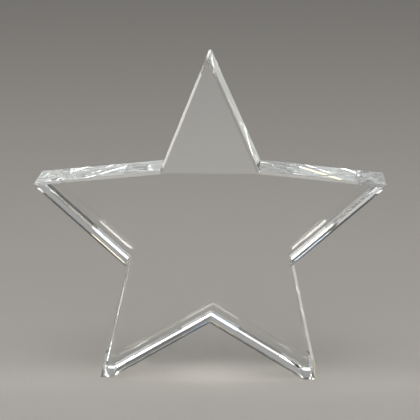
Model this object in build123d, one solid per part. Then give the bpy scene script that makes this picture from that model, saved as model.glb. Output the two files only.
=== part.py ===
from build123d import *
import math
import os

# Five-point star award: one solid block of clear optical crystal, sawn from
# plate, ground to outline, bevelled round both faces and polished all over.
# It stands on its two lower points, which are ground flat.
# Units are millimetres.  +X to the right seen from the front, +Z up,
# the front face looks along -Y.

# ---------------------------------------------------------------- dimensions
POINT_RADIUS = 52.6      # centre to the five sharp points, before blunting
NOTCH_RADIUS = 24.35     # centre to the five inner corners
THICKNESS = 20.0         # front face to back face
BEVEL = 0.75             # 45 degree polished bevel round both faces
TIP_FLAT = 0.85          # width of the small flat ground on each upper point
FOOT_LEVEL = -40.4       # height, from the star's centre, of the two foot flats

# Each corner is ground by hand, so it sits a few tenths off the regular star.
# Angle of the corner in degrees: (is it a point, offset in x, offset in z).
CORNERS = {
    90: (True, -0.35, -0.10),     # top point
    54: (False, -0.15, 0.05),     # upper right inner corner
    18: (True, 0.50, -0.15),      # right point
    -18: (False, 0.20, 0.00),     # lower right inner corner
    -54: (True, 0.00, -0.30),     # right foot point
    -90: (False, 0.25, 0.20),     # bottom inner corner
    -126: (True, -0.65, -0.05),   # left foot point
    -162: (False, -0.45, -0.40),  # lower left inner corner
    162: (True, 0.00, -0.30),     # left point
    126: (False, 0.55, -0.20),    # upper left inner corner
}
BLUNTED = (90, 18, 162)  # points that carry a small flat instead of a foot

HALF = THICKNESS / 2.0
OUTLINE = []
for angle, (is_point, dx, dz) in CORNERS.items():
    radius = POINT_RADIUS if is_point else NOTCH_RADIUS
    OUTLINE.append((radius * math.cos(math.radians(angle)) + dx,
                    radius * math.sin(math.radians(angle)) + dz))
ANGLES = list(CORNERS)


def beyond(point, normal):
    """A block that fills the space on the outer side of a plane."""
    return Plane(origin=point, z_dir=normal) * Box(
        160, 160, 60, align=(Align.CENTER, Align.CENTER, Align.MIN))


def grind(body, point, outward):
    """Grind a flat through point, facing outward in the XZ plane, and bevel
    the flat's own front and back edges to match the rest of the rim."""
    ox, oz = outward
    px, pz = point
    body = body - beyond((px, 0, pz), (ox, 0, oz))
    for side in (-1, 1):
        edge = (px, side * (HALF - BEVEL), pz)
        body = body - beyond(edge, (ox, side * 1.0, oz))
    return body


# ------------------------------------------------------------------ the block
profile = Polyline(*[(x, z) for x, z in OUTLINE], close=True)
blank = Plane.XZ.offset(-HALF) * make_face(profile)
star = extrude(blank, amount=THICKNESS, dir=(0, -1, 0))

# polished bevels round the front face and round the back face
rim = star.edges().filter_by(
    lambda e: abs(abs(e.center().Y) - HALF) < 1e-6
    and abs(e.tangent_at(0).Y) < 1e-6)
star = chamfer(rim, BEVEL)

# small flats on the upper three points
for angle in BLUNTED:
    k = ANGLES.index(angle)
    tip = Vector(OUTLINE[k][0], 0, OUTLINE[k][1])
    before = Vector(OUTLINE[k - 1][0], 0, OUTLINE[k - 1][1])
    after = Vector(OUTLINE[(k + 1) % 10][0], 0, OUTLINE[(k + 1) % 10][1])
    along_a = (tip - before).normalized()
    along_b = (tip - after).normalized()
    outward = (along_a + along_b).normalized()
    half_angle = math.acos(along_a.dot(outward))
    depth = TIP_FLAT / 2.0 / math.tan(half_angle)
    seat = tip - outward * depth
    star = grind(star, (seat.X, seat.Z), (outward.X, outward.Z))

# the two lower points are ground level to make the feet
star = grind(star, (0.0, FOOT_LEVEL), (0.0, -1.0))

# stand the star on the floor, centred over the origin
box = star.bounding_box()
star = Pos(-(box.min.X + box.max.X) / 2.0,
           -(box.min.Y + box.max.Y) / 2.0,
           -box.min.Z) * star
star = star.solids()[0]
star.label = "crystal_star"

os.makedirs("parts", exist_ok=True)
export_step(star, "parts/crystal_star.step")
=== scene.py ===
import bpy
import bmesh
import math
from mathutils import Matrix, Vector


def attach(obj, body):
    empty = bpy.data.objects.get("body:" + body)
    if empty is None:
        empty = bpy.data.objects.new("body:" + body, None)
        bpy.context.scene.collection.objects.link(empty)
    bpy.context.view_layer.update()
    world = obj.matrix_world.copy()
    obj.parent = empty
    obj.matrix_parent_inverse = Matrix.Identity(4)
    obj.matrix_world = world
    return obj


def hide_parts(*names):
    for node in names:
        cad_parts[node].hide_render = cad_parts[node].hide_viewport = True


# ------------------------------------------------------------------ the frame
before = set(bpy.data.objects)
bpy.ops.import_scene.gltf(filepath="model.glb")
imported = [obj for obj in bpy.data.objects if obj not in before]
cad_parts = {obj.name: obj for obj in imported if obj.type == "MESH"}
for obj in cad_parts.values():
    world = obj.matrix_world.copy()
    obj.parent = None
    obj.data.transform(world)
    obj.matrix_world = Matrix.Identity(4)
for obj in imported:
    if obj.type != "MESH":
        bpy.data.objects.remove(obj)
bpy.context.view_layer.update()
star_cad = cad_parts["crystal_star"]

scene = bpy.context.scene

EDGE_ROUND = 0.00007     # radius left by polishing on every arris, metres


def link(obj):
    scene.collection.objects.link(obj)
    return obj


# ------------------------------------------------------------- the glass block
def build_star():
    """The cut block, taken from the CAD solid, with every arris broken by the
    polishing wheel.  Large facets stay exactly flat.  Three face attributes
    tell the material how each surface was finished."""
    bm = bmesh.new()
    bm.from_mesh(star_cad.data)
    bmesh.ops.remove_doubles(bm, verts=bm.verts, dist=1e-6)
    bmesh.ops.dissolve_limit(bm, angle_limit=math.radians(0.4),
                             verts=bm.verts, edges=bm.edges,
                             use_dissolve_boundaries=False)
    bmesh.ops.recalc_face_normals(bm, faces=bm.faces)
    bmesh.ops.bevel(bm, geom=list(bm.edges) + list(bm.verts),
                    offset=EDGE_ROUND, offset_type='OFFSET', segments=2,
                    profile=0.5, affect='EDGES', clamp_overlap=True,
                    miter_outer='SHARP', miter_inner='SHARP')
    bmesh.ops.recalc_face_normals(bm, faces=bm.faces)
    mesh = bpy.data.meshes.new("crystal_block")
    bm.to_mesh(mesh)
    bm.free()
    side = mesh.attributes.new("side", 'FLOAT', 'FACE')      # sawn and polished facets
    ground = mesh.attributes.new("ground", 'FLOAT', 'FACE')  # 45 degree bevels
    worn = mesh.attributes.new("worn", 'FLOAT', 'FACE')      # broken arrises
    for p in mesh.polygons:
        p.use_smooth = False
        ny = abs(p.normal.y)
        s = g = w = 0.0
        if ny > 0.9995:
            pass
        elif ny < 0.01 and p.area > 1.2e-6:
            s = 1.0
        elif abs(ny - 0.7071) < 0.25 and p.area > 1.5e-7:
            g = 1.0
        else:
            w = 1.0
        side.data[p.index].value = s
        ground.data[p.index].value = g
        worn.data[p.index].value = w
    return link(bpy.data.objects.new("crystal_block", mesh))


class Graph:
    """Small helper for wiring shader nodes."""

    def __init__(self, tree):
        self.t = tree

    def node(self, kind, **props):
        n = self.t.nodes.new(kind)
        for k, v in props.items():
            setattr(n, k, v)
        return n

    def put(self, socket, v):
        if isinstance(v, bpy.types.NodeSocket):
            self.t.links.new(v, socket)
        else:
            socket.default_value = v

    def math(self, op, a, b=0.0, clamp=False):
        n = self.node("ShaderNodeMath", operation=op, use_clamp=clamp)
        self.put(n.inputs[0], a)
        self.put(n.inputs[1], b)
        return n.outputs[0]

    def noise(self, vec, scale, detail=2.0, rough=0.5):
        n = self.node("ShaderNodeTexNoise")
        self.put(n.inputs["Vector"], vec)
        n.inputs["Scale"].default_value = scale
        n.inputs["Detail"].default_value = detail
        n.inputs["Roughness"].default_value = rough
        return n.outputs["Fac"]

    def attr(self, name):
        return self.node("ShaderNodeAttribute", attribute_name=name).outputs["Fac"]

    def stretch(self, vec, scale):
        n = self.node("ShaderNodeMapping")
        self.put(n.inputs["Vector"], vec)
        n.inputs["Scale"].default_value = scale
        return n.outputs[0]


def crystal_material():
    m = bpy.data.materials.new("optical_crystal")
    m.use_nodes = True
    nt = m.node_tree
    g = Graph(nt)
    b = nt.nodes["Principled BSDF"]
    b.inputs["Transmission Weight"].default_value = 1.0
    b.inputs["IOR"].default_value = 1.517
    pos = g.node("ShaderNodeTexCoord").outputs["Object"]
    side, ground, worn = g.attr("side"), g.attr("ground"), g.attr("worn")

    # colour: water white, the least trace greener or warmer from place to place
    tint = g.node("ShaderNodeMix", data_type='RGBA')
    g.put(tint.inputs["Factor"], g.noise(pos, 45.0, 3.0))
    tint.inputs[6].default_value = (0.990, 0.998, 0.994, 1)
    tint.inputs[7].default_value = (1.0, 0.999, 0.996, 1)
    frost = g.node("ShaderNodeMix", data_type='RGBA')
    g.put(frost.inputs["Factor"], g.math('MULTIPLY', worn, 0.5))
    g.put(frost.inputs[6], tint.outputs[2])
    frost.inputs[7].default_value = (0.93, 0.95, 0.94, 1)
    g.put(b.inputs["Base Color"], frost.outputs[2])

    # roughness: mirror faces, slightly duller side facets and bevels, and a
    # satin line where each arris was broken
    haze = g.noise(pos, 90.0, 4.0, 0.6)
    grain = g.noise(pos, 1400.0, 2.0, 0.6)
    r = g.math('MULTIPLY', haze, 0.003)
    r = g.math('ADD', r, g.math('MULTIPLY', side, g.math('MULTIPLY', haze, 0.010)))
    r = g.math('ADD', r, g.math('MULTIPLY', ground, g.math('MULTIPLY', grain, 0.045)))
    r = g.math('ADD', r, g.math('MULTIPLY', worn, g.math('ADD', g.math('MULTIPLY', grain, 0.16), 0.08)))
    g.put(b.inputs["Roughness"], r)

    # relief: long shallow waves left by hand polishing on the side facets,
    # finer wheel marks on the bevels, none on the two big faces
    wave = g.math('MULTIPLY', g.noise(pos, 70.0, 1.0, 0.4), side)
    marks = g.math('MULTIPLY', g.noise(g.stretch(pos, (1.0, 6.0, 1.0)), 900.0, 2.0), ground)
    h = g.math('ADD', wave, g.math('MULTIPLY', marks, 0.04))
    bump = g.node("ShaderNodeBump")
    bump.inputs["Strength"].default_value = 1.0
    bump.inputs["Distance"].default_value = 0.00002
    g.put(bump.inputs["Height"], h)
    g.put(b.inputs["Normal"], bump.outputs["Normal"])

    # body colour: a faint green over a long path through the glass
    vol = g.node("ShaderNodeVolumeAbsorption")
    vol.inputs["Color"].default_value = (0.70, 0.94, 0.85, 1)
    vol.inputs["Density"].default_value = 1.0
    nt.links.new(vol.outputs[0], nt.nodes["Material Output"].inputs["Volume"])
    return m


star = build_star()
star.data.materials.append(crystal_material())
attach(star, "root")
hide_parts("crystal_star")

# ------------------------------------------------------------------- the stage
mesh = bpy.data.meshes.new("floor")
s, z = 3.0, -0.0002
mesh.from_pydata([(-s, -s, z), (s, -s, z), (s, s, z), (-s, s, z)], [], [(0, 1, 2, 3)])
floor = link(bpy.data.objects.new("floor", mesh))
fm = bpy.data.materials.new("floor")
fm.use_nodes = True
fb = fm.node_tree.nodes["Principled BSDF"]
fb.inputs["Base Color"].default_value = (0.40, 0.382, 0.362, 1)
fb.inputs["Roughness"].default_value = 0.85
fb.inputs["Specular IOR Level"].default_value = 0.0
floor.data.materials.append(fm)

# a plain dome: dim near the horizon, bright overhead
world = bpy.data.worlds.new("studio")
scene.world = world
world.use_nodes = True
wt = world.node_tree
wg = Graph(wt)
sep = wg.node("ShaderNodeSeparateXYZ")
wg.put(sep.inputs[0], wg.node("ShaderNodeTexCoord").outputs["Generated"])
ramp = wg.node("ShaderNodeValToRGB")
wg.put(ramp.inputs["Fac"], sep.outputs["Z"])
cr = ramp.color_ramp
cr.interpolation = 'EASE'
stops = [(0.0, 0.15), (0.080, 0.15), (0.105, 0.34), (0.145, 0.34), (0.175, 0.09), (0.30, 0.09), (0.48, 0.32), (0.80, 0.46)]
while len(cr.elements) < len(stops):
    cr.elements.new(0.5)
for e, (at, v) in zip(cr.elements, stops):
    e.position = at
    e.color = (v, v, v * 0.99, 1)
wg.put(wt.nodes["Background"].inputs["Color"], ramp.outputs["Color"])
wt.nodes["Background"].inputs["Strength"].default_value = 1.0


def area(name, az, el, dist, width, height, radiance, color=(1, 1, 1), aim=(0, 0, 0.045)):
    """A soft box at azimuth AZ (0 behind the star, 90 to its right) and
    elevation EL, facing the star.  RADIANCE is the brightness of its face."""
    a, e = math.radians(az), math.radians(el)
    loc = Vector(aim) + dist * Vector((math.sin(a) * math.cos(e), math.cos(a) * math.cos(e), math.sin(e)))
    d = bpy.data.lights.new(name, 'AREA')
    d.shape = 'RECTANGLE'
    d.size, d.size_y = width, height
    d.energy = radiance * math.pi * width * height     # watts for that radiance
    d.color = color
    o = link(bpy.data.objects.new(name, d))
    o.location = loc
    o.rotation_mode = 'QUATERNION'
    o.rotation_quaternion = (loc - Vector(aim)).to_track_quat('Z', 'Y')
    return o


def glass_lamp(*args, **kw):
    """A soft box that shows in the glass and leaves the floor alone, so the
    floor stays plain."""
    o = area(*args, **kw)
    o.visible_diffuse = False
    return o


def floor_panel(name, x, y, width, depth, radiance):
    o = glass_lamp(name, 0, 0, 0.1, width, depth, radiance)
    o.location = (x, y, 0.0006)
    o.rotation_quaternion = (0, 1, 0, 0)     # lies on the floor, facing up
    return o


area("overhead_softbox", 180, 74, 0.90, 0.80, 0.80, 2.6, (1.0, 0.995, 0.98))
area("front_floor_light", 180, 32, 0.95, 0.90, 0.60, 1.6, aim=(0, 0, 0)).rotation_quaternion = (1, 0, 0, 0)
# two tall side boxes light the long lines along the under edges; a warm and a
# cool strip beside each stand in for the colours cut glass splits light into
for name, az, foot_az, foot_w, tone in (("left", 253.5, 253.5, 0.31, (1.0, 0.985, 0.95)),
                                       ("right", 108.5, 103.5, 0.16, (0.95, 0.98, 1.0))):
    glass_lamp(name + "_softbox", az, 48, 1.00, 0.31, 0.56, 2.8, tone)
    glass_lamp(name + "_softbox_foot", foot_az, 19, 1.00, foot_w, 0.47, 2.8, tone)
    glass_lamp(name + "_warm_edge", az - 10.6, 45, 1.00, 0.045, 0.68, 4.5, (1.0, 0.78, 0.28))
    glass_lamp(name + "_cool_edge", az + 10.6, 45, 1.00, 0.045, 0.68, 4.5, (0.32, 0.60, 1.0))
# lamps behind, for the fine second line above each edge
glass_lamp("rear_right_lamp", 67.5, 57, 1.00, 0.17, 0.16, 44.0, (1.0, 0.98, 0.90))
glass_lamp("rear_left_lamp", 285.5, 57, 1.00, 0.17, 0.16, 24.0, (1.0, 0.97, 0.88))
glass_lamp("rear_right_tall_lamp", 71.5, 35, 1.00, 0.31, 1.08, 5.0, (1.0, 0.97, 0.90))
glass_lamp("rear_left_tall_lamp", 286.5, 35, 1.00, 0.31, 1.08, 6.0, (1.0, 0.97, 0.90))
# low strips just above the horizon, mirrored in the upper edges of the arms
glass_lamp("rear_strip_left", -9.4, 9.4, 1.60, 0.30, 0.066, 0.60, (0.97, 1.0, 0.99))
glass_lamp("rear_strip_right", 4.2, 9.4, 1.60, 0.19, 0.066, 0.42, (0.96, 0.99, 1.0))
glass_lamp("rear_strip_centre", -2.5, 12.7, 1.60, 0.14, 0.125, 1.4)
glass_lamp("rear_foot_lamp", 0, 18.2, 1.60, 0.68, 0.25, 0.24)
glass_lamp("left_leg_lamp", 243.0, 25, 1.00, 0.12, 0.14, 1.6)
glass_lamp("rear_left_low_panel", -9.1, 4.2, 1.60, 0.085, 0.060, 0.45)
glass_lamp("rear_left_high_panel", -20.6, 15.7, 1.60, 0.090, 0.060, 0.33)
glass_lamp("front_strip", 180, 9.4, 1.60, 0.58, 0.066, 0.60, (0.97, 1.0, 0.985))
kick = glass_lamp("right_kicker", 0, 0, 0.50, 0.050, 0.074, 0.50, (0.97, 1.0, 0.97), aim=(0.0692, -0.01, 0.0370))
kick.visible_transmission = False
floor_panel("left_floor_panel", -0.112, -0.036, 0.075, 0.055, 0.85)
floor_panel("right_floor_panel", 0.112, -0.036, 0.075, 0.055, 0.85)
floor_panel("bevel_panel", 0.086, 0.205, 0.072, 0.118, 0.42)
# mirrored by the ground flat on the top point and by the right leg's side
glass_lamp("top_flat_glint", -2.4, 6.5, 1.00, 0.045, 0.030, 1.1, (1.0, 0.98, 0.97),
           aim=(-0.0007, 0, 0.0919)).visible_transmission = False
floor_panel("right_leg_glint", 0.034, 0.089, 0.020, 0.158, 0.25).visible_transmission = False
# gives the front face its grey sheen
floor_panel("sheen_panel", 0.0, -1.19, 0.90, 1.70, 1.6).visible_transmission = False

# ------------------------------------------------------------------ the camera
AZ, EL, DIST = math.radians(2.12), math.radians(11.16), 0.5655
aim = Vector((-0.00024, 0.0, 0.04709))
back = Vector((math.sin(AZ) * math.cos(EL), -math.cos(AZ) * math.cos(EL), math.sin(EL)))
cd = bpy.data.cameras.new("camera")
cam = link(bpy.data.objects.new("camera", cd))
cam.location = aim + back * DIST
cam.rotation_mode = 'QUATERNION'
cam.rotation_quaternion = back.to_track_quat('Z', 'Y')
cd.sensor_width = 36.0
cd.lens = 1982.1 / 420.0 * 36.0
cd.clip_start, cd.clip_end = 0.01, 20.0
scene.camera = cam

# light has to find its way through many internal reflections
scene.cycles.max_bounces = 32
scene.cycles.transmission_bounces = 32
scene.cycles.glossy_bounces = 24
scene.cycles.diffuse_bounces = 4
scene.cycles.caustics_reflective = True
scene.cycles.caustics_refractive = True
scene.view_settings.view_transform = 'Standard'
